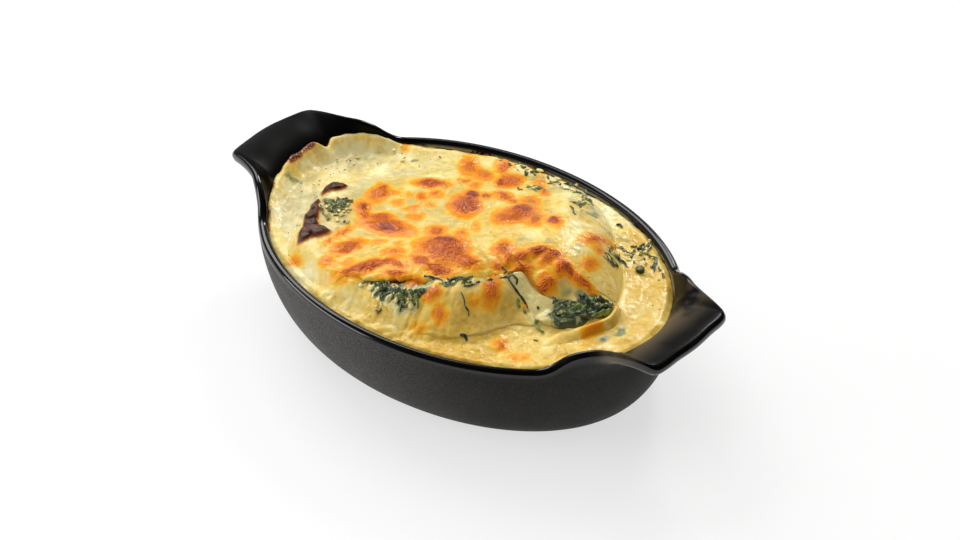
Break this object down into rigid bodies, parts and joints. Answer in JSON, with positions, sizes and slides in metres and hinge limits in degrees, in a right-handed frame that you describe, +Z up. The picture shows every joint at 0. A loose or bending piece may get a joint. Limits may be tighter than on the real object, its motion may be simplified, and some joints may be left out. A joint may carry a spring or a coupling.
{
  "type": "vegetarian lasagna in a dish",
  "caption": "Spinach lasagna under cream and browned cheese, baked in an oval black stoneware dish with a handle at each end.",
  "frame": {"origin": "centre of the dish's underside, on the surface that it stands on", "axes": "+Z up, +X along the dish from handle to handle, towards the end where the cream lies open, +Y across the dish"},
  "size_m": [0.2526, 0.1534, 0.0635],
  "materials": {
    "stoneware": "matte black with a fine grain, glossier on the lip",
    "cream": "wet, thick cream sauce",
    "pasta": "cooked pasta, slightly see-through, wet",
    "cheese": "melted cheese, glossy, with browned blisters",
    "spinach": "cooked spinach leaf, wet",
    "stalk": "cooked green stalk, wet"
  },
  "bodies": {
    "root": {"dish": "stoneware", "cream_sauce": "cream", "lower_pasta_sheet": "pasta", "spinach_filling": "spinach", "upper_pasta_sheet": "pasta", "cheese_gratin": "cheese", "spinach_tuft_left": "spinach", "spinach_front_patch": "spinach", "spinach_leaf_1": "spinach", "spinach_leaf_2": "spinach", "spinach_leaf_3": "spinach", "spinach_leaf_4": "spinach", "spinach_leaf_5": "spinach", "spinach_leaf_6": "spinach", "spinach_leaf_back_1": "spinach", "spinach_leaf_back_2": "spinach", "spinach_leaf_back_3": "spinach", "green_stalk": "stalk"}
  },
  "joints": []
}
